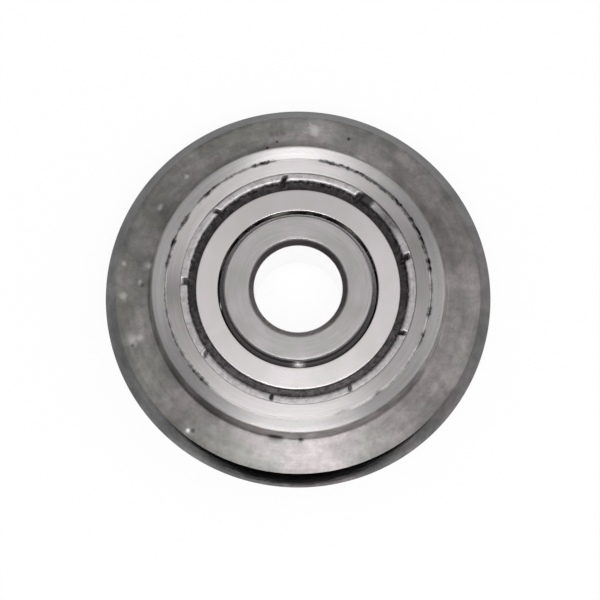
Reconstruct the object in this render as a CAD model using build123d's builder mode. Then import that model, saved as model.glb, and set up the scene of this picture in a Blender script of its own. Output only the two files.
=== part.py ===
from build123d import *
import math
import os

# Carbide scoring wheel on a shielded ball bearing, in millimetres.
# The axle hole's axis is Z, the rear face of the bearing lies on Z = 0
# and the cutting edge runs round the middle plane.

# Bearing envelope and inner race
bore_diameter = 5.0
bore_chamfer = 0.35
bearing_width = 5.0
inner_race_wall = 1.35
inner_track_depth = 0.6
inner_rebate_width = 0.23
inner_corner_chamfer = 0.1

# Balls
ball_count = 7
ball_diameter = 2.778
ball_play = 0.011
track_conformity = 1.04

# Outer race
outer_race_wall = 0.85
outer_track_depth = 0.4
outer_corner_chamfer = 0.06

# Ribbon cage and its rivets
strip_thickness = 0.2
cage_to_inner_race_gap = 0.08
cage_to_outer_race_gap = 0.28
pocket_clearance = 0.05
rivet_shank_diameter = 0.5
rivet_head_diameter = 0.9
rivet_head_height = 0.22

# Shields, pressed from sheet
sheet_thickness = 0.2
shield_to_cage_gap = 0.061
shield_to_inner_race_gap = 0.16
shield_to_rebate_gap = 0.2
shield_step = 0.25
shield_dish = 0.05
shield_channel_width = 0.52
sheet_outer_bend = 0.2
sheet_inner_bend = 0.04

# Hem round each shield: the sheet turned up and over, leaning out, and notched into tongues
hem_setback = 0.09
hem_slit = 0.03
hem_lean = 0.06
notch_count = 9
notch_first_angle = 16.5
notch_width = 0.34

# Seats that hold the shields in the outer race
ledge_width = 0.06
seat_slack = 0.02
seat_edge_chamfer = 0.05

# Carbide wheel
wheel_diameter = 22.0
boss_wall = 0.79
boss_setback = 0.05
boss_bore_chamfer = 0.06
boss_corner_radius = 0.16
boss_draft = 0.16
root_radius = 0.18
cheek_angle = 11.6
edge_angle = 110.0
edge_bevel_width = 0.64
edge_land = 0.06

# Radii that follow from the ball row
bore_radius = bore_diameter / 2
ball_radius = ball_diameter / 2
track_radius = ball_radius * track_conformity
pitch_radius = bore_radius + inner_race_wall + ball_radius + ball_play
inner_track_bottom = pitch_radius - ball_radius - ball_play
outer_track_bottom = pitch_radius + ball_radius + ball_play
inner_shoulder_radius = inner_track_bottom + inner_track_depth
inner_face_radius = inner_shoulder_radius - inner_rebate_width
outer_shoulder_radius = outer_track_bottom - outer_track_depth
bearing_radius = outer_track_bottom + outer_race_wall
cage_inner_radius = inner_shoulder_radius + cage_to_inner_race_gap
cage_outer_radius = outer_shoulder_radius - cage_to_outer_race_gap

# Heights over the middle plane that follow from the cage
middle = bearing_width / 2
half_width = bearing_width / 2
pocket_radius = ball_radius + pocket_clearance
pocket_reach = pocket_radius + strip_thickness
channel_underside = pocket_reach + shield_to_cage_gap
channel_floor = channel_underside + sheet_thickness
shield_face = channel_floor + shield_step
shield_underside = shield_face - sheet_thickness
rebate_floor = shield_underside - shield_to_rebate_gap

# Radii of the shields and their seats
hem_inner_radius = outer_shoulder_radius + ledge_width
hem_fold_radius = hem_inner_radius + sheet_thickness
hem_outer_radius = hem_fold_radius + hem_slit + sheet_thickness
hem_foot_radius = hem_outer_radius + hem_lean
hem_top = half_width - hem_setback
hem_rise = hem_top - channel_floor
hem_bead_radius = min(sheet_thickness, hem_rise / 2)
hem_foot_bend = min(sheet_outer_bend, hem_rise / 2)
shield_bend_radius = hem_inner_radius - shield_channel_width
shield_hole_radius = inner_shoulder_radius + shield_to_inner_race_gap
seat_mouth_radius = hem_outer_radius + seat_slack
seat_foot_radius = hem_foot_radius + seat_slack

# Radii and heights of the carbide section
boss_radius = bearing_radius + boss_wall
boss_half_width = half_width - boss_setback
root_circle_radius = boss_radius + boss_draft
edge_radius = wheel_diameter / 2
shoulder_radius = edge_radius - edge_bevel_width
shoulder_height = edge_land / 2 + edge_bevel_width * math.tan(math.radians(edge_angle / 2))
cheek_width = shoulder_radius - root_circle_radius
root_height = shoulder_height + cheek_width * math.tan(math.radians(cheek_angle))
root_fillet = min(root_radius, cheek_width / 2)

# Sections are drawn on this plane: x is the radius, y the height over the middle plane
section_plane = Plane(origin=(0, 0, middle), x_dir=(1, 0, 0), z_dir=(0, -1, 0))
middle_plane = Plane.XY.offset(middle)


def both_sides(front_points):
    """Section points of the front half followed by their mirror images, back to the start."""
    rear_points = [(radius, -height) for radius, height in reversed(front_points)]
    return front_points + rear_points


def both_ways(front_radii):
    """Corner radii that go with the points of both_sides."""
    return front_radii + front_radii[::-1]


def on_pitch_circle(degrees):
    """Point of the middle plane on the pitch circle, at an angle from +X."""
    angle = math.radians(degrees)
    return (pitch_radius * math.cos(angle), pitch_radius * math.sin(angle), middle)


os.makedirs("parts", exist_ok=True)

# Carbide wheel: one sintered ring, a boss on each side and a V edge
with BuildPart() as cutting_wheel:
    with BuildSketch(section_plane):
        with BuildLine():
            FilletPolyline(
                *both_sides([
                    (bearing_radius, boss_half_width - boss_bore_chamfer),
                    (bearing_radius + boss_bore_chamfer, boss_half_width),
                    (boss_radius, boss_half_width),
                    (root_circle_radius, root_height),
                    (shoulder_radius, shoulder_height),
                    (edge_radius, edge_land / 2),
                ]),
                radius=both_ways([0, 0, boss_corner_radius, root_fillet, 0, 0]),
                close=True,
            )
        make_face()
    revolve(axis=Axis.Z)
cutting_wheel.part.label = "cutting_wheel"
export_step(cutting_wheel.part, "parts/cutting_wheel.step")

# Outer race: ball track, and at each end a ledge and a dovetailed wall that hold a shield
with BuildPart() as outer_race:
    with BuildSketch(section_plane):
        with BuildLine():
            Polyline(
                *both_sides([
                    (outer_shoulder_radius, channel_underside),
                    (seat_foot_radius, channel_underside),
                    (seat_mouth_radius, hem_top),
                    (seat_mouth_radius, half_width - seat_edge_chamfer),
                    (seat_mouth_radius + seat_edge_chamfer, half_width),
                    (bearing_radius - outer_corner_chamfer, half_width),
                    (bearing_radius, half_width - outer_corner_chamfer),
                ]),
                close=True,
            )
        make_face()
    revolve(axis=Axis.Z)
    with BuildSketch(section_plane):
        with Locations((outer_track_bottom - track_radius, 0)):
            Circle(track_radius)
    revolve(axis=Axis.Z, mode=Mode.SUBTRACT)
outer_race.part.label = "outer_race"
export_step(outer_race.part, "parts/outer_race.step")

# Inner race: axle hole with a chamfer at each end, and round the outside the ball track
# between two shoulders, each cut back to clear the edge of its shield
with BuildPart() as inner_race:
    with BuildSketch(section_plane):
        with BuildLine():
            Polyline(
                *both_sides([
                    (bore_radius, half_width - bore_chamfer),
                    (bore_radius + bore_chamfer, half_width),
                    (inner_face_radius - inner_corner_chamfer, half_width),
                    (inner_face_radius, half_width - inner_corner_chamfer),
                    (inner_face_radius, rebate_floor),
                    (inner_shoulder_radius, rebate_floor),
                ]),
                close=True,
            )
        make_face()
    revolve(axis=Axis.Z)
    with BuildSketch(section_plane):
        with Locations((inner_track_bottom + track_radius, 0)):
            Circle(track_radius)
    revolve(axis=Axis.Z, mode=Mode.SUBTRACT)
inner_race.part.label = "inner_race"
export_step(inner_race.part, "parts/inner_race.step")

# Front shield: a slightly dished ring, a step down to a channel, and the notched hem
with BuildPart() as shield_front:
    with BuildSketch(section_plane):
        with BuildLine():
            FilletPolyline(
                (shield_hole_radius, shield_face + shield_dish),
                (shield_bend_radius, shield_face),
                (shield_bend_radius, channel_floor),
                (hem_inner_radius, channel_floor),
                (hem_inner_radius, hem_top),
                (hem_outer_radius, hem_top),
                (hem_foot_radius, channel_underside),
                (hem_foot_radius - sheet_thickness, channel_underside),
                (hem_fold_radius + hem_slit, hem_top - sheet_thickness),
                (hem_fold_radius, hem_top - sheet_thickness),
                (hem_fold_radius, channel_underside),
                (shield_bend_radius - sheet_thickness, channel_underside),
                (shield_bend_radius - sheet_thickness, shield_underside),
                (shield_hole_radius, shield_underside + shield_dish),
                radius=[
                    0, sheet_outer_bend, sheet_inner_bend, sheet_inner_bend,
                    hem_bead_radius, hem_bead_radius, 0, 0,
                    0, 0, hem_foot_bend, sheet_outer_bend, 0, 0,
                ],
                close=True,
            )
        make_face()
    revolve(axis=Axis.Z)
    with BuildSketch(Plane.XY.offset(bearing_width)):
        with PolarLocations(hem_fold_radius, notch_count, start_angle=notch_first_angle):
            SlotCenterToCenter(2 * (hem_fold_radius - hem_inner_radius), notch_width)
    extrude(amount=-half_width, mode=Mode.SUBTRACT)
shield_front.part.label = "shield_front"
export_step(shield_front.part, "parts/shield_front.step")

# Rear shield: the same pressing, turned to face the other way
with BuildPart() as shield_rear:
    mirror(shield_front.part, about=middle_plane)
shield_rear.part.label = "shield_rear"
export_step(shield_rear.part, "parts/shield_rear.step")

# Front half of the ribbon cage: a flat strip with a domed pocket over each ball
rivet_start_angle = 180 / ball_count
with BuildPart(middle_plane) as cage_front:
    with PolarLocations(pitch_radius, ball_count):
        Sphere(pocket_reach, arc_size1=0, align=(Align.CENTER, Align.CENTER, Align.MIN))
    with BuildSketch(middle_plane):
        Circle(cage_outer_radius)
        Circle(cage_inner_radius, mode=Mode.SUBTRACT)
    extrude(amount=strip_thickness)
    with BuildSketch(middle_plane):
        Circle(cage_outer_radius)
        Circle(cage_inner_radius, mode=Mode.SUBTRACT)
    extrude(amount=pocket_reach, mode=Mode.INTERSECT)
    with PolarLocations(pitch_radius, ball_count):
        Sphere(pocket_radius, mode=Mode.SUBTRACT)
    with PolarLocations(pitch_radius, ball_count, start_angle=rivet_start_angle):
        Hole(rivet_shank_diameter / 2)
cage_front.part.label = "cage_front"
export_step(cage_front.part, "parts/cage_front.step")

# Rear half of the cage, laid back to back with the front half
with BuildPart() as cage_rear:
    mirror(cage_front.part, about=middle_plane)
cage_rear.part.label = "cage_rear"
export_step(cage_rear.part, "parts/cage_rear.step")

# Balls, evenly spaced round the pitch circle
for index in range(ball_count):
    with BuildPart(Plane(origin=on_pitch_circle(index * 360 / ball_count))) as ball:
        Sphere(ball_radius)
    ball.part.label = f"ball_{index + 1}"
    export_step(ball.part, f"parts/ball_{index + 1}.step")

# Rivets midway between the balls, each a shank with a round head on both sides of the cage
head_radius = rivet_head_diameter / 2
dome_radius = (head_radius**2 + rivet_head_height**2) / (2 * rivet_head_height)
for index in range(ball_count):
    centre = on_pitch_circle(rivet_start_angle + index * 360 / ball_count)
    rivet_plane = Plane(origin=centre, x_dir=(1, 0, 0), z_dir=(0, -1, 0))
    with BuildPart() as rivet:
        with BuildSketch(rivet_plane):
            with BuildLine():
                Polyline(
                    (0, 0),
                    (rivet_shank_diameter / 2, 0),
                    (rivet_shank_diameter / 2, strip_thickness),
                    (head_radius, strip_thickness),
                )
                RadiusArc(
                    (head_radius, strip_thickness),
                    (0, strip_thickness + rivet_head_height),
                    -dome_radius,
                )
                Line((0, strip_thickness + rivet_head_height), (0, 0))
            make_face()
            mirror(about=Plane.XZ)
        revolve(axis=Axis(centre, Axis.Z.direction))
    rivet.part.label = f"rivet_{index + 1}"
    export_step(rivet.part, f"parts/rivet_{index + 1}.step")

print(f"boss stands {boss_half_width - root_height:.3f} over its root")
print(f"bearing outside diameter {2 * bearing_radius:.3f}, pitch diameter {2 * pitch_radius:.3f}")
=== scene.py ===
import math

import bmesh
import bpy
import numpy as np
from mathutils import Matrix, Vector


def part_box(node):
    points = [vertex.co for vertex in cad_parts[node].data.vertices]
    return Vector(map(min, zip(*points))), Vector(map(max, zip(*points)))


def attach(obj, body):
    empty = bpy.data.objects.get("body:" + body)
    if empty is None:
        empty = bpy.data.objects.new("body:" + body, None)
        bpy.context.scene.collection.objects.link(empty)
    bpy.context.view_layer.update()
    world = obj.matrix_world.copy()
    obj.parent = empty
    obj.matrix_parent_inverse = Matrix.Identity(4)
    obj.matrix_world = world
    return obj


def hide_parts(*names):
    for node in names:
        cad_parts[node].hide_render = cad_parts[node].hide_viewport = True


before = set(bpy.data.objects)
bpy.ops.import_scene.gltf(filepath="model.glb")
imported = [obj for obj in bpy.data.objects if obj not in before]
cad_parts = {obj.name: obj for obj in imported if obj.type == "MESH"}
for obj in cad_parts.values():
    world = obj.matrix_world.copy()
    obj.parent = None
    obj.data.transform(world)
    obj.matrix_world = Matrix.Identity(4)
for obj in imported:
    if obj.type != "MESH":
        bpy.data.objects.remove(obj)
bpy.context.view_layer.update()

# A carbide scoring wheel on a shielded ball bearing, lying on its rear face.
# Every surface is worked out in millimetres and written in metres.
# A height is measured from the middle plane of the wheel, so front and rear are mirror images.

MM = 0.001


def corners_mm(node):
    """Lowest and highest corner of a node's box, in millimetres."""
    low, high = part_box(node)
    return np.array(low) / MM, np.array(high) / MM


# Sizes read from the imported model
inner_low, inner_high = corners_mm("inner_race")
outer_high = corners_mm("outer_race")[1]
wheel_high = corners_mm("cutting_wheel")[1]
shield_low, shield_high = corners_mm("shield_front")
cage_high = corners_mm("cage_front")[1]

middle = (inner_low[2] + inner_high[2]) / 2
half_width = inner_high[2] - middle
inner_shoulder_radius = inner_high[0]
bearing_radius = outer_high[0]
edge_radius = wheel_high[0]
boss_half_width = wheel_high[2] - middle
hem_foot_radius = shield_high[0]
hem_top = shield_high[2] - middle
channel_underside = shield_low[2] - middle
cage_outer_radius = cage_high[0]
pocket_reach = cage_high[2] - middle
ball_count = sum(node.startswith("ball_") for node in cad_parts)

# Sizes inside those boxes, the same as in the part's source
ball_radius = 1.389
ball_play = 0.011
track_radius = 1.4446
bore_radius = 2.5
bore_chamfer = 0.35
inner_race_wall = 1.35
inner_rebate_width = 0.23
inner_corner_chamfer = 0.1
outer_track_depth = 0.4
outer_corner_chamfer = 0.06
strip_thickness = 0.2
cage_to_inner_race_gap = 0.08
sheet_thickness = 0.2
sheet_outer_bend = 0.2
sheet_inner_bend = 0.04
shield_to_rebate_gap = 0.2
shield_to_inner_race_gap = 0.16
shield_step = 0.25
shield_dish = 0.05
shield_channel_width = 0.52
ledge_width = 0.06
notch_count = 9
notch_first_angle = 16.5
rivet_shank_radius = 0.25
boss_wall = 0.79
boss_bore_chamfer = 0.06
boss_corner_radius = 0.16
boss_draft = 0.16
root_radius = 0.18
cheek_angle = 11.6
edge_angle = 110.0
edge_bevel_width = 0.64
edge_land = 0.06

# Sizes of the hem and its seat, other than in the solids: it leans further in and fits tighter
hem_outer_radius = 6.66
seat_slack = 0.006
seat_edge_chamfer = 0.03

# Sizes that follow from those
inner_track_bottom = bore_radius + inner_race_wall
pitch_radius = inner_track_bottom + ball_radius + ball_play
outer_track_bottom = pitch_radius + ball_radius + ball_play
outer_shoulder_radius = outer_track_bottom - outer_track_depth
hem_inner_radius = outer_shoulder_radius + ledge_width
shield_bend_radius = hem_inner_radius - shield_channel_width
boss_radius = bearing_radius + boss_wall
root_circle_radius = boss_radius + boss_draft
shoulder_radius = edge_radius - edge_bevel_width
bevel_slope = math.tan(math.radians(edge_angle / 2))
shoulder_height = edge_land / 2 + edge_bevel_width * bevel_slope
cheek_slope = math.tan(math.radians(cheek_angle))
root_height = shoulder_height + (shoulder_radius - root_circle_radius) * cheek_slope
channel_floor = channel_underside + sheet_thickness
shield_face = channel_floor + shield_step
shield_hole_radius = inner_shoulder_radius + shield_to_inner_race_gap
inner_face_radius = inner_shoulder_radius - inner_rebate_width
rebate_floor = shield_face - sheet_thickness - shield_to_rebate_gap
cage_inner_radius = inner_shoulder_radius + cage_to_inner_race_gap

# How much lower the boss's face is at the bearing than at its rim
lip_fall = 0.03

# Film of old grease on the cage's inner edge
grease_film = 0.065

# How far the sheet's burr reaches into the shield's hole, and its pressed hem into the channel
burr = 0.08
hem_spread = 0.1

# Depth of the nicks in the cutting edge, and of the pressing's roughness in channel and hem
nick_depth = 0.012
pressing_depth = 0.006

# Radius of rounded edges and corners
fine_edge = 0.03
pressed_edge = 0.05
seat_edge = 0.01
shoulder_edge = 0.02
cutting_edge = 0.015
hem_foot_rounding = 0.12
hem_top_rounding = 0.17

# Fineness of the meshes: points in one turn, and the widest gap between points across the form
wheel_columns = 640
race_columns = 480
shield_columns = 900
cage_columns = 560
ball_columns = 64
rivet_columns = 32
wheel_spacing = 0.22
outer_race_spacing = 0.2
inner_race_spacing = 0.16
shield_spacing = 0.11


# Surfaces


def rounded_outline(corners, spacing, arc_steps=4):
    """Radii and heights of a closed outline, given as rows of (radius, height, rounding).

    At each corner a circular arc of that rounding, in arc_steps steps, touches both sides: it
    starts and ends rounding / tan(half the corner's angle) away from the corner, and its centre
    lies on the angle's bisector. A corner without rounding is one point. The straight runs
    between arcs are divided evenly, spacing apart or less.
    """
    corners = np.array(corners, dtype=float)
    here, rounding = corners[:, :2], corners[:, 2]
    to_before = np.roll(here, 1, axis=0) - here
    to_after = np.roll(here, -1, axis=0) - here
    to_before /= np.linalg.norm(to_before, axis=1, keepdims=True)
    to_after /= np.linalg.norm(to_after, axis=1, keepdims=True)
    half_angle = np.arccos(np.clip((to_before * to_after).sum(axis=1), -1, 1)) / 2
    cut = (rounding / np.tan(half_angle))[:, None]
    start, end = here + to_before * cut, here + to_after * cut
    bisector = to_before + to_after
    bisector /= np.linalg.norm(bisector, axis=1, keepdims=True)
    centre = here + bisector * (rounding / np.sin(half_angle))[:, None]
    stretches = []
    for k in range(len(corners)):
        first = np.arctan2(*(start[k] - centre[k])[::-1])
        last = np.arctan2(*(end[k] - centre[k])[::-1])
        sweep = (last - first + np.pi) % (2 * np.pi) - np.pi
        steps = arc_steps if rounding[k] > 0 else 0
        angle = first + sweep * np.linspace(0, 1, steps + 1)
        arc = centre[k] + rounding[k] * np.column_stack([np.cos(angle), np.sin(angle)])
        onward = start[(k + 1) % len(corners)]
        count = max(int(np.ceil(np.linalg.norm(onward - end[k]) / spacing)), 1)
        share = np.linspace(0, 1, count + 1)[1:-1, None]
        stretches += [arc, end[k] + (onward - end[k]) * share]
    outline = np.concatenate(stretches)
    return outline[:, 0], outline[:, 1]


def both_sides(front):
    """Outline corners of the front half followed by their mirror images, back to the start."""
    return front + [(radius, -height, rounding) for radius, height, rounding in reversed(front)]


def add_object(name, data):
    """New object in the scene that holds a mesh, a lamp or a camera."""
    made = bpy.data.objects.new(name, data)
    bpy.context.scene.collection.objects.link(made)
    return made


def grid_mesh(name, x, y, z, material, around=True, closed_across=True, attributes=None):
    """Mesh through a grid of points: row i runs across the form and column j along it.

    Each face joins point (i, j) with (i, j + 1), (i + 1, j + 1) and (i + 1, j), and the grid
    closes on itself along j where around is true and along i where closed_across is true.
    """
    rows, columns = x.shape
    points = np.stack([x, y, z], axis=-1).reshape(-1, 3) * MM
    i = np.arange(rows if closed_across else rows - 1)
    j = np.arange(columns if around else columns - 1)
    i, j = np.meshgrid(i, j, indexing="ij")
    next_i, next_j = (i + 1) % rows, (j + 1) % columns
    faces = np.stack(
        [i * columns + j, i * columns + next_j, next_i * columns + next_j, next_i * columns + j],
        axis=-1,
    ).reshape(-1, 4)
    mesh = bpy.data.meshes.new(name)
    mesh.vertices.add(len(points))
    mesh.vertices.foreach_set("co", points.astype(np.float32).ravel())
    mesh.loops.add(faces.size)
    mesh.loops.foreach_set("vertex_index", faces.astype(np.int32).ravel())
    mesh.polygons.add(len(faces))
    mesh.polygons.foreach_set("loop_start", np.arange(0, faces.size, 4, dtype=np.int32))
    mesh.polygons.foreach_set("use_smooth", np.ones(len(faces), dtype=bool))
    for title, values in (attributes or {}).items():
        layer = mesh.attributes.new(title, "FLOAT", "POINT")
        layer.data.foreach_set("value", values.astype(np.float32).ravel())
    mesh.update(calc_edges=True)
    mesh.validate()
    mesh.materials.append(material)
    return add_object(name, mesh)


def turns(count):
    """Angles of one full turn, the last one a step short of the first."""
    return np.arange(count) * 2 * np.pi / count


def revolve(name, radius, height, count, material, attributes=None):
    """Ring whose outline is carried once round the axis.

    Point (i, j) is (radius cos t, radius sin t, middle + height) at the turn t of column j, where
    radius and height are a column of values, or a grid of them where they change with t.
    """
    t = turns(count)[None, :]
    radius = np.broadcast_to(radius, (radius.shape[0], count))
    height = np.broadcast_to(height, (height.shape[0], count))
    x, y = radius * np.cos(t), radius * np.sin(t)
    attributes = attributes or {}
    grids = {title: np.broadcast_to(values, x.shape) for title, values in attributes.items()}
    return grid_mesh(name, x, y, middle + height, material, attributes=grids)


def smooth_step(value, low, high):
    """0 below low, 1 above high, and a cubic between them."""
    share = np.clip((value - low) / (high - low), 0, 1)
    return share * share * (3 - 2 * share)


def bump_at(angle, centre, width):
    """Bell curve round the turn: 1 at centre and exp(-1) at width from it, all in degrees."""
    away = (np.degrees(angle) - centre + 180) % 360 - 180
    return np.exp(-((away / width) ** 2))


def bells(angle, rows):
    """Sum of bell curves round the turn, from rows of centre, width and height."""
    return sum(amount * bump_at(angle, centre, width) for centre, width, amount in rows)


def waves(angle, across, seed, count, finest, steepest):
    """Seamless roughness between about -1 and 1: a sum of sines over the turn and across the form.

    Each sine has a whole number of waves round the turn, up to finest, a wave number across of
    up to steepest per millimetre, its own phase, and a height that falls as it gets finer.
    """
    draw = np.random.default_rng(seed)
    total = np.zeros(np.broadcast(angle, across).shape)
    for wave in draw.integers(1, finest, count):
        slope = draw.uniform(-steepest, steepest)
        phase = draw.uniform(0, 2 * np.pi)
        total = total + np.sin(wave * angle + slope * across + phase) / np.sqrt(1 + wave / 12)
    return total / np.sqrt(count)


# Materials

# Dirt in the joint of bearing and wheel: angle in degrees, width to each side, and amount
joint_dirt = (
    (0.0, 8.0, 0.5),
    (10.0, 2.5, 1.0),
    (18.0, 7.0, 0.8),
    (33.0, 12.0, 1.0),
    (52.0, 13.0, 1.0),
    (70.0, 9.0, 0.7),
    (75.5, 1.8, 0.6),
    (79.0, 1.8, 0.75),
    (103.0, 3.0, 0.9),
    (108.0, 3.0, 0.8),
    (119.0, 8.0, 0.6),
    (133.0, 6.0, 0.9),
    (149.0, 5.0, 1.0),
    (160.0, 3.5, 1.0),
    (168.0, 4.0, 0.9),
    (186.0, 13.0, 0.35),
    (209.0, 16.0, 0.5),
    (223.0, 6.0, 0.6),
    (289.0, 3.0, 0.35),
    (306.0, 2.0, 0.5),
    (328.0, 20.0, 0.32),
    (338.0, 3.0, 0.6),
    (349.5, 2.5, 1.1),
)

# Dark pits and smudges in the carbide: angle in degrees, radius, height, size and darkness
dark_pits = (
    (72.2, 9.5, 1.12, 0.17, 1.0),
    (260.1, 8.4, 1.5, 0.46, 1.0),
    (261.4, 8.4, 1.5, 0.5, 1.0),
    (262.7, 8.4, 1.5, 0.46, 1.0),
    (271.0, 8.5, 1.4, 0.26, 1.0),
    (97.8, 8.93, 1.24, 0.14, 1.0),
    (101.8, 8.65, 1.3, 0.16, 1.0),
    (177.4, 8.85, 1.26, 0.16, 0.55),
    (198.0, 9.86, 1.05, 0.16, 0.6),
    (233.2, 9.9, 1.05, 0.24, 0.8),
    (95.6, 9.42, 1.14, 0.34, 0.34),
    (97.4, 9.42, 1.14, 0.36, 0.38),
    (99.2, 9.42, 1.14, 0.34, 0.34),
    (98.6, 8.93, 1.24, 0.3, 0.3),
    (102.6, 8.65, 1.3, 0.34, 0.3),
    (148.0, 9.1, 1.2, 0.5, 0.2),
    (253.0, 9.4, 1.15, 0.5, 0.16),
)

# Pale nicks in the carbide, and broad painted highlights on the boss's wall below and at the upper
# right, in the same way
pale_nicks_and_highlights = (
    (147.8, 9.3, 1.17, 0.26),
    (133.1, 9.31, 1.17, 0.24),
    (176.0, 9.0, 1.23, 0.2),
    (170.0, 8.62, 1.31, 0.32),
    (84.2, 9.6, 1.11, 0.6),
    (65.3, 8.62, 1.31, 0.3),
    (181.0, 9.95, 1.04, 0.34),
    (170.0, 10.1, 1.01, 0.26),
    (196.3, 9.8, 1.07, 0.4),
    (196.4, 9.36, 1.16, 0.3),
    (232.2, 10.03, 1.02, 0.34),
    (266.4, 8.4, 1.7, 0.9),
    (275.0, 8.3, 2.0, 0.4),
    (57.0, 8.4, 1.8, 1.1),
    (65.0, 8.45, 1.7, 0.8),
    (71.0, 8.45, 1.6, 0.6),
    (76.0, 8.5, 1.5, 0.45),
)

# A nick with a painted glint: angle in degrees, radius, height and size
nick_with_painted_glint = (231.9, 10.05, 1.02, 0.19)

# Notches of the hem, from the first one round: width in millimetres, slant in degrees per
# millimetre, share of the full depth, and dirt
notch_forms = (
    (0.26, -2.0, 1.0, 0.9),
    (0.30, 3.0, 0.6, 0.95),
    (0.22, 5.0, 0.9, 0.95),
    (0.20, -4.0, 0.5, 0.8),
    (0.34, 0.0, 0.3, 0.62),
    (0.16, -5.0, 0.4, 0.5),
    (0.14, 0.0, 0.5, 0.7),
    (0.14, 3.0, 0.4, 0.5),
    (0.18, -3.0, 0.7, 0.85),
)

# Painted light and shade, lighter and darker sides of a surface: angle in degrees, width to each side,
# and share added
race_painted_light = (
    (143.0, 24.0, 0.38),
    (228.0, 20.0, 0.32),
    (181.0, 11.0, -0.3),
    (14.0, 24.0, -0.25),
)
lip_painted_light = (
    (90.0, 15.0, 0.28),
    (122.0, 14.0, -0.15),
    (32.0, 14.0, -0.2),
    (222.0, 26.0, -0.26),
    (301.0, 14.0, -0.26),
)
cheek_painted_light = (
    (312.0, 28.0, 0.26),
    (207.0, 24.0, 0.25),
    (92.0, 42.0, -0.3),
)
bevel_painted_light = (
    (105.0, 80.0, -0.5),
    (270.0, 60.0, -0.2),
)


class Nodes:
    """A node tree with short calls for its nodes."""

    def __init__(self, tree):
        self.tree = tree

    def find(self, kind):
        """The node of that kind that is there already."""
        return next(n for n in self.tree.nodes if n.type == kind)

    def put(self, socket, value):
        """Links value to the socket if it is another socket, and otherwise writes it there."""
        if isinstance(value, bpy.types.NodeSocket):
            self.tree.links.new(value, socket)
        else:
            socket.default_value = value

    def node(self, kind, *values, inputs=None, output=0, **settings):
        """New node with its settings, and the output that is wanted.

        Its first inputs get the values in order, and others come by title or number in inputs.
        """
        made = self.tree.nodes.new(kind)
        for key, setting in settings.items():
            setattr(made, key, setting)
        for key, value in {**dict(enumerate(values)), **(inputs or {})}.items():
            self.put(made.inputs[key], value)
        return made.outputs[output]

    def math(self, operation, *values, clamp=False):
        return self.node("ShaderNodeMath", *values, operation=operation, use_clamp=clamp)

    def vector(self, operation, *values, output=0):
        return self.node("ShaderNodeVectorMath", *values, operation=operation, output=output)

    def scaled(self, vector, factor):
        """The vector times a factor."""
        inputs = {"Vector": vector, "Scale": factor}
        return self.node("ShaderNodeVectorMath", inputs=inputs, operation="SCALE")


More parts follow.
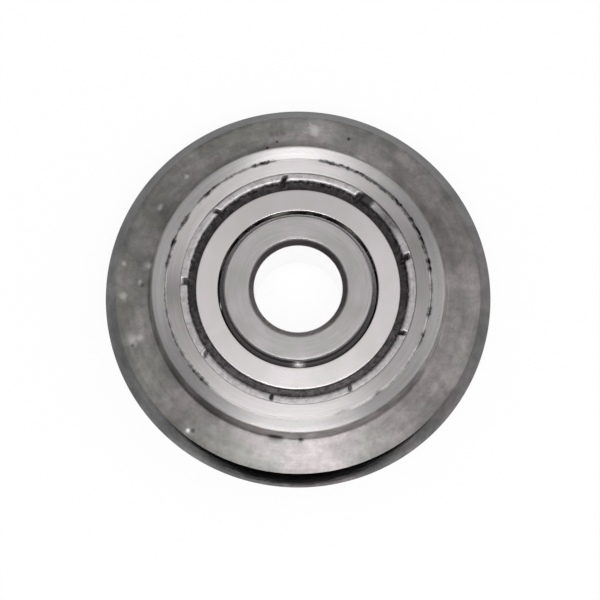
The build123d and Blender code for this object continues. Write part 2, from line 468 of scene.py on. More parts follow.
class Paint(Nodes):
    """A material's nodes, with the patterns that the finishes are made of."""

    def __init__(self, name):
        self.material = bpy.data.materials.new(name)
        self.material.use_nodes = True
        super().__init__(self.material.node_tree)
        self.shader = self.find("BSDF_PRINCIPLED")

    def between(self, value, low, high, start=0.0, stop=1.0):
        """start where value is low, stop where it is high, and a smooth passage between them."""
        ends = {"From Min": low, "From Max": high, "To Min": start, "To Max": stop}
        return self.node("ShaderNodeMapRange", value, inputs=ends, interpolation_type="SMOOTHSTEP")

    def band(self, value, low, high, soft):
        """1 where value lies between low and high, with edges that are soft wide."""
        rising = self.between(value, low - soft, low + soft)
        falling = self.between(value, high - soft, high + soft, 1.0, 0.0)
        return self.math("MULTIPLY", rising, falling)

    def mix(self, share, first, second, blend="MIX"):
        """Colour that goes from first to second as share goes from 0 to 1."""
        inputs = {0: share, 6: first, 7: second}
        settings = {"data_type": "RGBA", "blend_type": blend, "clamp_result": False}
        return self.node("ShaderNodeMix", inputs=inputs, output=2, **settings)

    def blend(self, share, first, second):
        """Number that goes from first to second as share goes from 0 to 1."""
        return self.node("ShaderNodeMix", inputs={0: share, 2: first, 3: second})

    def vary(self, colour, pattern, low, high, darkest, lightest):
        """Colour times a grey that goes from darkest to lightest as the pattern goes low to high."""
        grey = self.between(pattern, low, high, darkest, lightest)
        return self.mix(1.0, colour, grey, "MULTIPLY")

    def spot(self, point, angle, radius, height, size, ragged=0.5):
        """1 at a place given by its angle in degrees, radius and height, and 0 from size away.

        Where ragged is a noise, it shortens or stretches the distance, which breaks the outline.
        """
        turn = math.radians(angle)
        place = (radius * math.cos(turn), radius * math.sin(turn), middle + height)
        away = self.vector("DISTANCE", point, place, output=1)
        stretch = self.math("MAXIMUM", self.math("MULTIPLY_ADD", ragged, 4.0, -1.0), 0.6)
        return self.between(self.math("MULTIPLY", away, stretch), 0.0, size, 1.0, 0.0)

    def lean(self, flat, angle):
        """1 on the side of the axis at that angle in degrees, -1 on the other, by the cosine."""
        turn = math.radians(angle)
        direction = self.vector("NORMALIZE", flat)
        return self.vector("DOT_PRODUCT", direction, (math.cos(turn), math.sin(turn), 0.0), output=1)

    def joint(self, point, radius):
        """The joint of bearing and wheel: how dark its dirt is, and how much painted highlight its
        edges get.

        The dirt is a fine line with dots on it. Where there is none, the edges get a painted
        highlight.
        """
        away = self.math("ABSOLUTE", self.math("SUBTRACT", radius, bearing_radius))
        dots = self.between(self.noise(point, 3.6, 2.0, 0.5), 0.42, 0.62)
        dirt = self.attribute("dirt")
        reach = self.math("MULTIPLY_ADD", dirt, 0.08, self.math("MULTIPLY_ADD", dots, 0.04, 0.06))
        line = self.between(away, self.math("MULTIPLY", reach, 0.5), reach, 1.0, 0.0)
        amount = self.math("MULTIPLY", dirt, self.math("MULTIPLY_ADD", dots, 0.45, 0.65))
        dark = self.math("MULTIPLY", line, amount, clamp=True)
        edges = self.between(away, outer_corner_chamfer, outer_corner_chamfer + 0.03, 1.0, 0.0)
        return dark, self.math("MULTIPLY", edges, self.math("SUBTRACT", 1.0, dark))

    def noise(self, vector, scale, detail, roughness, distortion=0.0):
        """Noise near 0.5 at that many features per millimetre."""
        inputs = {"Vector": vector, "Scale": scale, "Detail": detail}
        inputs |= {"Roughness": roughness, "Distortion": distortion}
        return self.node("ShaderNodeTexNoise", inputs=inputs)

    def attribute(self, title):
        """The mesh's own number of that name at each of its points."""
        return self.node("ShaderNodeAttribute", attribute_name=title, output=2)

    def place(self):
        """Object coordinates in millimetres, with the radius and the height that they give."""
        coordinates = self.node("ShaderNodeTexCoord", output=3)
        point = self.scaled(coordinates, 1 / MM)
        flat = self.vector("MULTIPLY", point, (1.0, 1.0, 0.0))
        radius = self.vector("LENGTH", flat, output=1)
        height = self.math("SUBTRACT", self.node("ShaderNodeSeparateXYZ", point, output=2), middle)
        return point, flat, radius, height

    def turned(self, flat, radius, height, along, across):
        """Coordinates whose noise is drawn out round the axis into turning marks.

        Two of them are along times the point's direction from the axis, the third is across
        times its radius plus its height, so that marks run on over faces, bores and walls.
        """
        stretched = self.scaled(self.vector("NORMALIZE", flat), along)
        profile = self.math("MULTIPLY", self.math("ADD", radius, height), across)
        return self.vector("ADD", stretched, self.node("ShaderNodeCombineXYZ", 0.0, 0.0, profile))

    def bump(self, height, distance, strength, normal=None):
        """Relief that follows height, distance millimetres deep, over another relief or none."""
        inputs = {"Strength": strength, "Distance": distance * MM, "Height": height}
        if normal is not None:
            inputs["Normal"] = normal
        return self.node("ShaderNodeBump", inputs=inputs)

    def finish(self, colour, roughness, normal, metallic=1.0, anisotropic=0.0):
        """Fills the shader; a finish with anisotropic spreads light across its turning marks."""
        self.put(self.shader.inputs["Base Color"], colour)
        self.put(self.shader.inputs["Roughness"], roughness)
        self.put(self.shader.inputs["Normal"], normal)
        self.put(self.shader.inputs["Metallic"], metallic)
        if anisotropic:
            self.shader.inputs["Anisotropic"].default_value = anisotropic
            self.shader.inputs["Anisotropic Rotation"].default_value = 0.25
            tangent = self.node("ShaderNodeTangent", direction_type="RADIAL", axis="Z")
            self.put(self.shader.inputs["Tangent"], tangent)
        return self.material


def rgb(red, green, blue):
    return (red, green, blue, 1.0)


# Painted highlight on the sharp edges of the joint, in steel or carbide
edge_highlight = rgb(0.80, 0.785, 0.785)

# Carbide: green-grey and mauve on the cheeks and on the bevels, paler on the lip round the bearing
cheek_green = rgb(0.288, 0.287, 0.272)
cheek_mauve = rgb(0.314, 0.286, 0.291)
bevel_green = rgb(0.134, 0.137, 0.134)
bevel_mauve = rgb(0.143, 0.13, 0.133)
lip_grey = rgb(0.49, 0.475, 0.478)
# Pale for nicks and painted highlights, white for a painted glint, near black for pits, dirt and
# painted shade
nick_and_highlight_grey = rgb(0.50, 0.49, 0.48)
glint_white = rgb(0.97, 0.96, 0.96)
pit_and_shade_black = rgb(0.022, 0.018, 0.02)

# Races: grey and mauve, painted shade on the bore's chamfer, darker above than below, the bore bright,
# and a near black for dirt, grease and painted shade
outer_grey = rgb(0.46, 0.45, 0.445)
outer_mauve = rgb(0.50, 0.47, 0.48)
inner_grey = rgb(0.47, 0.458, 0.458)
inner_mauve = rgb(0.49, 0.465, 0.474)
chamfer_shade_above = rgb(0.08, 0.068, 0.072)
chamfer_shade_below = rgb(0.24, 0.22, 0.225)
bore_bright = rgb(0.95, 0.94, 0.94)
race_dirt_and_shade = rgb(0.055, 0.048, 0.05)

# Shields: sheet and rim in two shades, clotted dirt in the channel with painted shade that makes it
# darker above, and the hem's dirt and painted shade
sheet_grey = rgb(0.80, 0.78, 0.775)
sheet_mauve = rgb(0.82, 0.775, 0.79)
rim_dark = rgb(0.35, 0.333, 0.338)
rim_pale = rgb(0.48, 0.463, 0.468)
clot_dark_shaded_above = rgb(0.008, 0.006, 0.007)
clot_pale_shaded_above = rgb(0.05, 0.042, 0.044)
clot_dark_below = rgb(0.035, 0.03, 0.031)
clot_pale_below = rgb(0.14, 0.127, 0.13)
hem_stain_and_shade = rgb(0.035, 0.03, 0.031)

# Cage and balls, dark with old grease and painted shade, in two shades
cage_pale = rgb(0.22, 0.205, 0.2)
cage_dark = rgb(0.14, 0.13, 0.127)
ball_pale = rgb(0.17, 0.165, 0.165)
ball_dark = rgb(0.10, 0.095, 0.095)


def carbide_finish():
    """Ground sintered carbide: satin, in patches of green-grey and mauve, with fine turning marks."""
    paint = Paint("ground_carbide")
    point, flat, radius, height = paint.place()
    marks = paint.noise(paint.turned(flat, radius, height, 2.2, 5.0), 1.0, 4.0, 0.6)
    fine_marks = paint.noise(paint.turned(flat, radius, height, 9.0, 30.0), 1.0, 2.0, 0.6)
    patches = paint.noise(point, 0.34, 2.0, 0.5, 0.5)
    mottle = paint.noise(point, 0.8, 3.0, 0.55, 0.4)
    blotches = paint.noise(point, 2.3, 3.0, 0.6, 0.3)
    grain = paint.noise(point, 11.0, 2.0, 0.6)

    hue = paint.math("MULTIPLY_ADD", paint.lean(flat, -30), 0.08, paint.math("MULTIPLY", patches, 0.7))
    hue = paint.math("SUBTRACT", hue, paint.math("MULTIPLY_ADD", radius, 0.05, -0.62))
    mauve = paint.between(hue, 0.38, 0.62)
    base = paint.mix(mauve, cheek_green, cheek_mauve)
    bevel = paint.between(radius, shoulder_radius - 0.03, shoulder_radius + 0.03)
    base = paint.mix(bevel, base, paint.mix(mauve, bevel_green, bevel_mauve))
    base = paint.vary(base, patches, 0.36, 0.64, 0.88, 1.12)
    base = paint.vary(base, mottle, 0.34, 0.66, 0.86, 1.14)
    base = paint.vary(base, blotches, 0.36, 0.64, 0.91, 1.09)
    lip = paint.between(radius, boss_radius - 0.12, boss_radius + 0.02, 1.0, 0.0)
    base = paint.mix(lip, base, lip_grey)
    # Painted light and shade: lighter and darker sides, from the mesh's own numbers
    base = paint.mix(1.0, base, paint.attribute("painted_light"), "MULTIPLY")
    base = paint.vary(base, marks, 0.3, 0.7, 0.92, 1.07)
    base = paint.vary(base, grain, 0.3, 0.7, 0.95, 1.04)
    # Pale nicks, and broad painted highlights on the boss's wall
    rubbed_and_lit = 0.0
    for nick in pale_nicks_and_highlights:
        rubbed_and_lit = paint.math("MAXIMUM", rubbed_and_lit, paint.spot(point, *nick, blotches))
    rubbed_and_lit = paint.math("MULTIPLY", rubbed_and_lit, 0.6)
    base = paint.mix(rubbed_and_lit, base, nick_and_highlight_grey)
    # A painted glint on one nick
    glint = paint.spot(point, *nick_with_painted_glint)
    base = paint.mix(glint, base, glint_white)

    # Painted shade in the root of the boss at the lower left, made with the pits' black
    root = paint.band(radius, boss_radius - 0.02, root_circle_radius + 0.1, 0.05)
    shade = paint.math("MULTIPLY", root, paint.between(paint.lean(flat, 208), 0.7, 0.95, 0.0, 0.5))
    dirt, highlit_edges = paint.joint(point, radius)
    # Painted highlight on the joint's edges where no dirt lies
    base = paint.mix(highlit_edges, base, edge_highlight)
    dark = paint.math("MAXIMUM", shade, dirt)
    for *pit, darkness in dark_pits:
        shown = paint.math("MULTIPLY", paint.spot(point, *pit), darkness)
        dark = paint.math("MAXIMUM", dark, shown)
    base = paint.mix(dark, base, pit_and_shade_black)
    roughness = paint.blend(bevel, paint.between(mottle, 0.3, 0.7, 0.42, 0.48), 0.09)
    roughness = paint.blend(highlit_edges, roughness, 0.75)
    relief = paint.math("ADD", marks, paint.math("MULTIPLY", fine_marks, 0.3))
    normal = paint.bump(relief, 0.012, 0.6, paint.bump(grain, 0.005, 0.4))
    metallic = paint.math("SUBTRACT", 1.0, rubbed_and_lit)
    return paint.finish(base, roughness, normal, metallic, 0.9)


def race_finish(name, grey, mauve, rough, spread):
    """Ground bearing steel with close turning marks, with painted shade on the bore's chamfer and dark
    dirt in the joint.

    It is grey and mauve in patches, and spread is how far it spreads light across its marks.
    """
    paint = Paint(name)
    point, flat, radius, height = paint.place()
    marks = paint.noise(paint.turned(flat, radius, height, 2.0, 12.0), 1.0, 4.0, 0.6)
    patches = paint.noise(point, 0.6, 3.0, 0.6, 0.4)
    grain = paint.noise(point, 12.0, 2.0, 0.6)
    base = paint.mix(paint.between(patches, 0.35, 0.65), grey, mauve)
    base = paint.vary(base, marks, 0.3, 0.7, 0.93, 1.06)
    # Painted light and shade: lighter and darker sides, from the mesh's own numbers
    base = paint.mix(1.0, base, paint.attribute("painted_light"), "MULTIPLY")
    # Painted shade on the bore's chamfer, darker above than below
    chamfer = paint.band(radius, bore_radius + 0.02, bore_radius + 0.8 * bore_chamfer, 0.04)
    low = paint.between(paint.lean(flat, 260), 0.0, 0.9)
    chamfer_shade = paint.mix(low, chamfer_shade_above, chamfer_shade_below)
    base = paint.mix(paint.math("MULTIPLY", chamfer, 0.9), base, chamfer_shade)
    # Stain and painted shade from the mesh, with the joint's dirt
    stain_and_shade = paint.math("MULTIPLY_ADD", grain, 0.35, paint.attribute("stain_and_shade"))
    dirt, highlit_edges = paint.joint(point, radius)
    # Painted highlight on the joint's edges where no dirt lies
    base = paint.mix(highlit_edges, base, edge_highlight)
    stain_and_shade = paint.math("MAXIMUM", paint.between(stain_and_shade, 0.45, 0.8), dirt)
    base = paint.mix(stain_and_shade, base, race_dirt_and_shade)
    roughness = paint.between(patches, 0.3, 0.7, rough, rough + 0.06)
    roughness = paint.blend(stain_and_shade, paint.blend(highlit_edges, roughness, 0.75), 0.6)
    bore = paint.between(radius, bore_radius + 0.002, bore_radius + 0.018, 1.0, 0.0)
    roughness = paint.blend(bore, roughness, 0.08)
    base = paint.mix(bore, base, bore_bright)
    normal = paint.bump(marks, 0.006, 0.6, paint.bump(grain, 0.003, 0.4))
    return paint.finish(base, roughness, normal, paint.blend(stain_and_shade, 1.0, 0.2), spread)


def shield_finish():
    """Bright pressed sheet, smooth and pale, with dark dirt in the crimped channel, and painted shade
    that darkens the sheet and the channel above.
    """
    paint = Paint("shield_sheet")
    point, flat, radius, height = paint.place()
    marks = paint.noise(paint.turned(flat, radius, height, 3.0, 8.0), 1.0, 3.0, 0.6)
    patches = paint.noise(point, 0.8, 3.0, 0.6, 0.4)
    grain = paint.noise(point, 4.2, 4.0, 0.7)
    below = paint.lean(flat, 270)
    base = paint.mix(paint.between(patches, 0.35, 0.65), sheet_grey, sheet_mauve)
    # Painted shade: the sheet is darker above
    base = paint.vary(base, below, -1.0, -0.3, 0.84, 1.0)
    hole_edge = shield_hole_radius - burr
    base = paint.vary(base, radius, hole_edge + 0.01, hole_edge + 0.08, 0.5, 1.0)
    edge = paint.math("MULTIPLY_ADD", paint.math("SUBTRACT", grain, 0.5), 0.34, radius)
    channel = paint.math(
        "MULTIPLY",
        paint.between(radius, shield_bend_radius - 0.1, shield_bend_radius),
        paint.between(edge, hem_inner_radius - 0.12, hem_inner_radius - 0.04, 1.0, 0.0),
    )
    clots = paint.between(grain, 0.35, 0.65)
    # The channel's dirt, with painted shade that makes it darker above than below
    shaded_dirt_above = paint.mix(clots, clot_dark_shaded_above, clot_pale_shaded_above)
    dirt_below = paint.mix(clots, clot_dark_below, clot_pale_below)
    dirt = paint.mix(paint.between(below, -0.2, 1.0), shaded_dirt_above, dirt_below)
    rim = paint.between(radius, hem_inner_radius - 0.22, hem_inner_radius - 0.12)
    rim_colour = paint.mix(paint.between(grain, 0.36, 0.60), rim_dark, rim_pale)
    base = paint.mix(rim, base, rim_colour)
    base = paint.mix(channel, base, dirt)
    # Dirt in the hem, and the painted shade along its foot
    stain_and_shade = paint.math("MULTIPLY_ADD", grain, 0.35, paint.attribute("stain_and_shade"))
    stain_and_shade = paint.between(stain_and_shade, 0.45, 0.8)
    base = paint.mix(stain_and_shade, base, hem_stain_and_shade)
    dull = paint.math("MAXIMUM", channel, stain_and_shade)
    roughness = paint.blend(rim, paint.between(patches, 0.3, 0.7, 0.22, 0.26), 0.45)
    roughness = paint.blend(dull, roughness, 0.62)
    metallic = paint.blend(dull, 1.0, 0.5)
    clotted = paint.between(radius, shield_bend_radius - 0.07, shield_bend_radius + 0.06)
    normal = paint.bump(marks, 0.004, 0.5, paint.bump(grain, 0.015, clotted))
    return paint.finish(base, roughness, normal, metallic, 0.2)


def hidden_steel_finish(name, pale, dark, roughness):
    """Steel inside the bearing, dark with a film of old grease and painted shade, patchy and dull."""
    paint = Paint(name)
    point = paint.place()[0]
    film = paint.noise(point, 1.4, 3.0, 0.6)
    grain = paint.noise(point, 20.0, 2.0, 0.6)
    base = paint.mix(paint.between(film, 0.35, 0.65), pale, dark)
    rough = paint.between(film, 0.3, 0.7, roughness, roughness + 0.12)
    return paint.finish(base, rough, paint.bump(grain, 0.004, 0.4))


# Pieces


def build_cutting_wheel(material):
    """Carbide ring: the outline of the boss, cheek and V edge carried round the axis.

    The radius is less by the depth of the nicks, in full at the edge and not at all inside the bevel.
    """
    radius, height = rounded_outline(
        both_sides([
            (bearing_radius, boss_half_width - lip_fall - boss_bore_chamfer, fine_edge),
            (bearing_radius + boss_bore_chamfer, boss_half_width - lip_fall, fine_edge),
            (boss_radius, boss_half_width, boss_corner_radius),
            (root_circle_radius, root_height, root_radius),
            (shoulder_radius, shoulder_height, shoulder_edge),
            (edge_radius, edge_land / 2, cutting_edge),
        ])[::-1],
        wheel_spacing,
        arc_steps=5,
    )
    angle = turns(wheel_columns)[None, :]
    radius, height = radius[:, None], height[:, None]
    chipping = waves(angle, 0.0, seed=3, count=40, finest=220, steepest=0.0)
    nicks = nick_depth * np.clip(chipping - 0.6, 0, 1)
    radius_grid = radius - nicks * smooth_step(radius, shoulder_radius, edge_radius)

    # Painted light and shade: the lip, cheek and bevel lighter and darker by side, the bevel brighter
    # along the edge below and a little darker above, and the cheek darker towards the shoulder except
    # above
    face = smooth_step(height, boss_half_width - 0.3, boss_half_width - 0.1)
    dirt = np.clip(bells(angle, joint_dirt), 0, 1) * face
    on_cheek = smooth_step(radius, boss_radius - 0.1, boss_radius + 0.05)
    on_bevel = smooth_step(radius, shoulder_radius - 0.02, shoulder_radius + 0.02)
    outwards = 0.8 + 0.5 * (radius - boss_radius) / (shoulder_radius - boss_radius)
    painted_light = bells(angle, lip_painted_light) * (1 - on_cheek)
    painted_light = painted_light + bells(angle, cheek_painted_light) * outwards * on_cheek * (1 - on_bevel)
    at_edge = smooth_step(radius, edge_radius - 0.3, edge_radius - 0.05)
    edge_painted_light = at_edge * (0.6 * bump_at(angle, 270, 60) - 0.14 * bump_at(angle, 110, 80))
    shaded = 0.2 * smooth_step(radius, shoulder_radius - 0.45, shoulder_radius - 0.02) * (1 - on_bevel)
    shaded = shaded * (1 - bump_at(angle, 90, 75))
    painted_light = 1 + painted_light - shaded + (bells(angle, bevel_painted_light) + edge_painted_light) * on_bevel
    attributes = {"dirt": dirt, "painted_light": painted_light}
    piece = revolve("wheel_carbide", radius_grid, height, wheel_columns, material, attributes)
    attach(piece, "wheel")
    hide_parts("cutting_wheel")


def track(centre_radius, side, land_radius):
    """Corners of a ball track's arc, from the front land to the rear one, without rounding.

    A corner lies at (centre + side R cos a, R sin a), where R is the track's radius, and side is
    1 in the outer race and -1 in the inner race.
    """
    reach = math.acos((land_radius - centre_radius) / (side * track_radius))
    angle = np.linspace(reach, -reach, 15)
    radius = centre_radius + side * track_radius * np.cos(angle)
    height = track_radius * np.sin(angle)
    return list(zip(radius, height, 0 * angle))


def build_outer_race(material):
    """Outer race: ledges and dovetailed seats for the shields, and the ball track between them."""
    seat_mouth_radius = hem_outer_radius + seat_slack
    seat_foot_radius = hem_foot_radius + seat_slack
    front = [
        (outer_shoulder_radius, channel_underside, fine_edge),
        (seat_foot_radius, channel_underside, seat_edge),
        (seat_mouth_radius, hem_top, seat_edge),
        (seat_mouth_radius, half_width - seat_edge_chamfer, seat_edge),
        (seat_mouth_radius + seat_edge_chamfer, half_width, seat_edge),
        (bearing_radius - outer_corner_chamfer, half_width, fine_edge),
        (bearing_radius, half_width - outer_corner_chamfer, fine_edge),
    ]
    groove = track(outer_track_bottom - track_radius, 1.0, outer_shoulder_radius)
    corners = both_sides(front) + groove[::-1]
    radius, height = rounded_outline(corners[::-1], outer_race_spacing)
    angle = turns(race_columns)[None, :]
    radius, height = radius[:, None], height[:, None]
    face = smooth_step(height, half_width - 0.3, half_width - 0.12)
    dirt = np.clip(bells(angle, joint_dirt), 0, 1) * face
    # Painted light and shade: the race's faces lighter and darker by side
    painted_light = 1 + bells(angle, race_painted_light)
    attributes = {"dirt": dirt, "painted_light": painted_light}
    piece = revolve("outer_race_steel", radius, height, race_columns, material, attributes)
    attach(piece, "wheel")
    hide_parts("outer_race")


def build_inner_race(material):
    """Inner race: axle hole, a chamfer at each end, two flat faces and the ball track."""
    front = [
        (bore_radius, half_width - bore_chamfer, fine_edge),
        (bore_radius + bore_chamfer, half_width, fine_edge),
        (inner_face_radius - inner_corner_chamfer, half_width, fine_edge),
        (inner_face_radius, half_width - inner_corner_chamfer, fine_edge),
        (inner_face_radius, rebate_floor, fine_edge),
        (inner_shoulder_radius, rebate_floor, fine_edge),
    ]
    groove = track(inner_track_bottom + track_radius, -1.0, inner_shoulder_radius)
    corners = front + groove + both_sides(front)[len(front):]
    radius, height = rounded_outline(corners[::-1], inner_race_spacing)
    radius, height = radius[:, None], height[:, None]

    # The wall of the rebate, in the gap under the shield, is painted dark as grease and shade, least
    # of it above and straight below
    outside = smooth_step(radius, inner_face_radius - 0.15, inner_face_radius - 0.05)
    below = smooth_step(half_width - height, 0.01, 0.08)
    angle = turns(race_columns)[None, :]
    around = 0.64 - 0.28 * bump_at(angle, 270.5, 5) - 0.42 * bump_at(angle, 80, 70)
    attributes = {"stain_and_shade": around * outside * below, "painted_light": np.ones_like(angle)}
    piece = revolve("inner_race_steel", radius, height, race_columns, material, attributes)
    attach(piece, "hub")
    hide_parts("inner_race")


def build_shield(name, node, side, material):
    """Pressed shield: a dished ring, a step down to a channel, and a hem with notches across it.

    Across a notch the hem's heights sink to the channel's foot, and the pressing's roughness is
    added to the heights of the channel and the hem. side is 1 in front and -1 at the rear, where
    the rows run the other way round, so that faces still point outwards.
    """
    corners = [
        (shield_hole_radius - burr, shield_face + shield_dish, pressed_edge),
        (shield_bend_radius, shield_face, pressed_edge),
        (shield_bend_radius, channel_floor, sheet_inner_bend),
        (hem_inner_radius - hem_spread, channel_floor, hem_foot_rounding),
        (hem_inner_radius - hem_spread, hem_top, hem_top_rounding),
        (hem_outer_radius, hem_top, fine_edge),
        (hem_foot_radius, channel_underside, fine_edge),
        (shield_bend_radius - sheet_thickness, channel_underside, sheet_outer_bend),
        (shield_bend_radius - sheet_thickness, shield_face - sheet_thickness, sheet_inner_bend),
        (shield_hole_radius - burr, shield_face - sheet_thickness + shield_dish, pressed_edge),
    ]
    radius, height = rounded_outline(corners, shield_spacing, arc_steps=5)
    angle = turns(shield_columns)[None, :]
    radius, height = radius[:, None], height[:, None]
    pitch = 360 / notch_count
    turned = np.degrees(angle) - notch_first_angle
    hem_middle = hem_inner_radius + sheet_thickness
    nearest = np.round(turned / pitch).astype(int) % notch_count
    width, slant, depth, soiled = np.array(notch_forms)[nearest].T
    leaned = turned + slant.T * (radius - hem_middle)
    from_notch = np.abs((leaned + pitch / 2) % pitch - pitch / 2)
    half_notch = np.degrees(width.T / 2 / hem_middle)
    at_notch = 1 - smooth_step(from_notch, half_notch - 0.6, half_notch + 0.6)
    at_notch = at_notch * (1 - smooth_step(radius, hem_outer_radius - 0.2, hem_outer_radius - 0.06))
    notch = depth.T * at_notch
    notch_foot = channel_underside + 0.03
    sunk = np.where(radius > hem_inner_radius - 0.23, np.minimum(height, notch_foot), height)
    rough = waves(angle, radius, seed=7, count=40, finest=170, steepest=40.0)
    top_side = smooth_step(height, channel_floor - 0.01, channel_floor + 0.03)
    worked = smooth_step(radius, shield_bend_radius + 0.05, shield_bend_radius + 0.15)
    clear_of_ends = 1 - smooth_step(height, hem_top - 0.04, hem_top)
    pressed = height + pressing_depth * rough * worked * top_side * clear_of_ends
    height_grid = pressed * (1 - notch) + sunk * notch

    # The hem is dirty in its notches and in a blot at the upper right, and a painted shade lies in a
    # line along its foot, where it meets the seat
    hem = smooth_step(radius, hem_inner_radius - 0.2, hem_inner_radius - 0.1)
    foot = smooth_step(radius, hem_outer_radius - 0.14, hem_outer_radius - 0.06)
    line = 0.56 * (bump_at(angle, 130, 22) + bump_at(angle, 40, 25)) * foot
    blot = np.maximum(0.72 * bump_at(angle, 53, 6), 0.5 * bump_at(angle, 38, 18))
    stain_and_shade = np.maximum(np.maximum(soiled.T * at_notch, blot) * hem, line)
    heights, attributes = side * height_grid[::side], {"stain_and_shade": stain_and_shade[::side]}
    piece = revolve(name, radius[::side], heights, shield_columns, material, attributes)
    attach(piece, "wheel")
    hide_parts(node)


def build_cage(name, node, side, material):
    """Half of the ribbon cage: a flat strip that rises into a dome over each ball.

    The outer skin stands at the larger of the strip's thickness and sqrt(reach^2 - d^2), where d
    is the distance from the nearest ball's centre in the middle plane, and the inner skin in the
    same way at the strip's back or the pocket's own sphere. side is 1 in front and -1 at the
    rear, and the rows run the way round that points faces outwards.
    """
    inner, outer = cage_inner_radius - grease_film, cage_outer_radius
    angle = turns(cage_columns)[None, :]
    across = np.linspace(inner + 0.02, outer - 0.02, 12)
    radius = np.concatenate([[inner], across, [outer], [outer], across[::-1], [inner]])[:, None]
    is_top = np.repeat([True, False], len(radius) // 2)[:, None]
    nearest = np.round(angle * ball_count / (2 * np.pi)) * 2 * np.pi / ball_count
    distance = np.hypot(
        radius * np.cos(angle) - pitch_radius * np.cos(nearest),
        radius * np.sin(angle) - pitch_radius * np.sin(nearest),
    )
    dome = np.sqrt(np.maximum(pocket_reach**2 - distance**2, 0))
    pocket = np.sqrt(np.maximum((pocket_reach - strip_thickness) ** 2 - distance**2, 0))
    height = np.where(is_top, np.maximum(dome, strip_thickness), pocket)
    piece = revolve(name, radius[::-side], side * height[::-side], cage_columns, material)
    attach(piece, "cage")
    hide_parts(node)


def weld_poles(piece):
    """Merges the points that share a place, as at a pole."""
    work = bmesh.new()
    work.from_mesh(piece.data)
    bmesh.ops.remove_doubles(work, verts=work.verts, dist=0.0001 * MM)
    work.to_mesh(piece.data)
    work.free()


def capped_form(name, centre, profile_radius, profile_height, count, material):
    """Small turned form on an upright axis through centre, closed at both ends by its poles.

    Point (i, j) is centre + (radius cos t, radius sin t, height), and the first and last rows
    lie on the axis, where their points are merged into one.
    """
    t = turns(count)[None, :]
    radius, height = profile_radius[:, None], profile_height[:, None]
    x, y = centre[0] + radius * np.cos(t), centre[1] + radius * np.sin(t)
    z = centre[2] + height + 0 * t
    piece = grid_mesh(name, x, y, z, material, closed_across=False)
    weld_poles(piece)
    return piece


def build_ball(index, material):
    """Ball: a circle of latitude for each row, from the lower pole to the upper one."""
    node = f"ball_{index}"
    low, high = corners_mm(node)
    reach = (high[2] - low[2]) / 2
    latitude = np.linspace(-np.pi / 2, np.pi / 2, 33)
    radius, height = reach * np.cos(latitude), reach * np.sin(latitude)
    centre = (low + high) / 2
    piece = capped_form(f"steel_{node}", centre, radius, height, ball_columns, material)
    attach(piece, f"{node}_body")
    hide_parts(node)


def build_rivet(index, material):
    """Rivet: a shank through both cage halves with a round head on each."""
    node = f"rivet_{index}"
    low, high = corners_mm(node)
    head_radius = (high[0] - low[0]) / 2
    reach = (high[2] - low[2]) / 2
    head_height = reach - strip_thickness
    dome_radius = (head_radius**2 + head_height**2) / (2 * head_height)
    share = np.linspace(0, 1, 9)
    dome_r = head_radius * share
    dome_h = reach - dome_radius + np.sqrt(dome_radius**2 - dome_r**2)
    seat = np.array([[head_radius - 0.02, strip_thickness], [rivet_shank_radius, strip_thickness]])
    top_r = np.concatenate([dome_r, seat[:, 0]])
    top_h = np.concatenate([dome_h, seat[:, 1]])
    radius = np.concatenate([top_r, top_r[::-1]])[::-1]
    height = np.concatenate([top_h, -top_h[::-1]])[::-1]
    centre = (low + high) / 2
    piece = capped_form(f"steel_{node}", centre, radius, height, rivet_columns, material)
    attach(piece, "cage")
    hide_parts(node)


carbide = carbide_finish()
outer_steel = race_finish("outer_race_steel", outer_grey, outer_mauve, rough=0.43, spread=0.8)
inner_steel = race_finish("inner_race_steel", inner_grey, inner_mauve, rough=0.30, spread=0.2)
shield_steel = shield_finish()
cage_steel = hidden_steel_finish("cage_strip", cage_pale, cage_dark, roughness=0.5)
ball_steel = hidden_steel_finish("greased_shaded_ball", ball_pale, ball_dark, roughness=0.3)

build_cutting_wheel(carbide)
build_outer_race(outer_steel)
build_inner_race(inner_steel)
build_shield("shield_sheet_front", "shield_front", 1, shield_steel)
build_shield("shield_sheet_rear", "shield_rear", -1, shield_steel)
build_cage("cage_strip_front", "cage_front", 1, cage_steel)
build_cage("cage_strip_rear", "cage_rear", -1, cage_steel)
for number in range(1, ball_count + 1):
    build_ball(number, ball_steel)
    build_rivet(number, cage_steel)


# Studio

# Camera: tilt in degrees, distance and the widths of view and sensor in millimetres, and pixels
camera_tilt = 12.2
camera_distance = 160.0
frame_width = 33.8
sensor_width = 36.0
picture_size = 600
hub_centre_px = (298.1, 287.5)

# Floor: half its side in metres, and how much of it shows as white
floor_reach = 3.0
floor_glow = 0.93

# Black card: radius, heights of its foot, of the foot's rise and of its top over the floor in
# millimetres, and half its turn in degrees
flag_radius = 13.8
flag_foot = 2.12
flag_lift = 1.15
flag_top = 7.5
flag_reach = 62.0

# Light of the room at the horizon and overhead, and how much more comes from the right
room_horizon = 0.2
room_overhead = 0.66
room_right = 0.12


def tilted(degrees):
    """Unit direction in the YZ plane, leaning from +Z towards -Y by that angle."""
    lean = math.radians(degrees)
    return Vector((0, -math.sin(lean), math.cos(lean)))


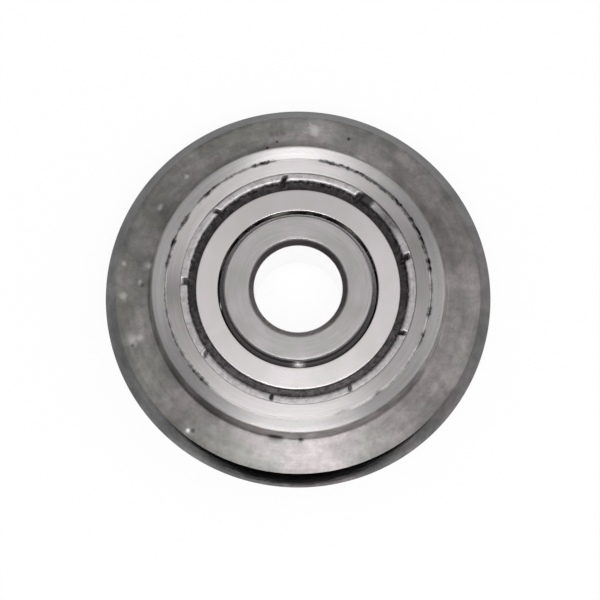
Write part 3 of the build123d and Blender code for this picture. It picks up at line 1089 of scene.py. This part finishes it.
def build_camera():
    """Camera above the hub, leaning to -Y, slid in its own plane so that the hub sits off centre."""
    data = bpy.data.cameras.new("camera")
    data.sensor_width = sensor_width
    data.lens = sensor_width * camera_distance / frame_width
    data.clip_start = 0.001
    data.clip_end = 20
    camera = add_object("camera", data)
    back = tilted(camera_tilt)
    right = Vector((1, 0, 0))
    up = back.cross(right)
    hub = Vector((0, 0, middle + half_width))
    pixel = frame_width / picture_size
    slide = right * (picture_size / 2 - hub_centre_px[0]) * pixel
    slide += up * (hub_centre_px[1] - picture_size / 2) * pixel
    place = (hub + back * camera_distance + slide) * MM
    axes = Matrix((right, up, back)).transposed().to_4x4()
    camera.matrix_world = Matrix.Translation(place) @ axes
    bpy.context.scene.camera = camera


def softbox(name, place, size_x, size_y, radiance):
    """Rectangular lamp, placed and sized in metres, that shines on the wheel's middle.

    Its power is its radiance times pi times its area.
    """
    data = bpy.data.lights.new(name, "AREA")
    data.shape = "RECTANGLE"
    data.size = size_x
    data.size_y = size_y
    data.energy = radiance * math.pi * size_x * size_y
    lamp = add_object(name, data)
    lamp.location = place
    lamp.visible_camera = False
    away = (lamp.location - Vector((0, 0, middle * MM))).normalized()
    lamp.rotation_euler = away.to_track_quat("Z", "Y").to_euler()


def matt_paint(name, colour):
    """Paint of one colour and without any gloss."""
    paint = Paint(name)
    paint.shader.inputs["Base Color"].default_value = colour
    paint.shader.inputs["Roughness"].default_value = 1.0
    paint.shader.inputs["Specular IOR Level"].default_value = 0.0
    return paint


def build_floor():
    """Pale floor: shown near white, with enough of its lit surface left for a faint shadow."""
    mesh = bpy.data.meshes.new("floor")
    corners = [(x * floor_reach, y * floor_reach, 0) for x, y in ((-1, -1), (1, -1), (1, 1), (-1, 1))]
    mesh.from_pydata(corners, [], [(0, 1, 2, 3)])
    floor = add_object("floor", mesh)
    paint = matt_paint("pale_floor", rgb(0.9, 0.9, 0.9))
    ray = paint.node("ShaderNodeLightPath").node.outputs
    seen = paint.math("MAXIMUM", ray["Is Camera Ray"], ray["Is Glossy Ray"])
    seen = paint.math("MAXIMUM", seen, ray["Is Transmission Ray"])
    share = paint.math("MULTIPLY", seen, floor_glow)
    glow = paint.node("ShaderNodeEmission", rgb(1.0, 1.0, 1.0), 1.0)
    shown = paint.node("ShaderNodeMixShader", share, paint.shader.outputs[0], glow)
    paint.put(paint.find("OUTPUT_MATERIAL").inputs["Surface"], shown)
    mesh.materials.append(paint.material)


def build_flag():
    """Black card bent round the near side of the wheel, which darkens what that bevel reflects.

    Its foot rises as foot + lift (turn / reach)^2, so that the dark runs out to both sides.
    """
    reach = math.radians(flag_reach)
    turn, share = np.meshgrid(np.linspace(-reach, reach, 33), [0.0, 1.0])
    foot = flag_foot + flag_lift * (turn / reach) ** 2
    x, y = flag_radius * np.sin(turn), -flag_radius * np.cos(turn)
    z = foot + (flag_top - foot) * share
    card = matt_paint("black_card", rgb(0.004, 0.004, 0.004)).material
    flag = grid_mesh("flag", x, y, z, card, around=False, closed_across=False)
    flag.visible_camera = False
    flag.visible_shadow = False
    flag.visible_diffuse = False


def build_world():
    """Plain room: pale above, dimmer towards the horizon, a little brighter on the right."""
    world = bpy.data.worlds.new("room")
    world.use_nodes = True
    bpy.context.scene.world = world
    room = Nodes(world.node_tree)
    direction = room.node("ShaderNodeTexCoord").node.outputs["Generated"]
    right = room.node("ShaderNodeSeparateXYZ", direction)
    up = right.node.outputs["Z"]
    ends = {"To Min": room_horizon, "To Max": room_overhead}
    rise = room.node("ShaderNodeMapRange", up, inputs=ends)
    background = room.find("BACKGROUND").inputs
    room.put(background["Color"], rgb(1.0, 0.985, 0.985))
    room.put(background["Strength"], room.math("MULTIPLY_ADD", right, room_right, rise))


build_camera()
build_floor()
build_flag()
build_world()
softbox("key", (0.0, -0.14, 0.37), 0.20, 0.16, 8.0)
softbox("left_fill", (-0.33, 0.02, 0.22), 0.26, 0.26, 0.55)
softbox("right_fill", (0.33, 0.02, 0.22), 0.26, 0.26, 1.2)

bpy.context.scene.view_settings.view_transform = "Standard"
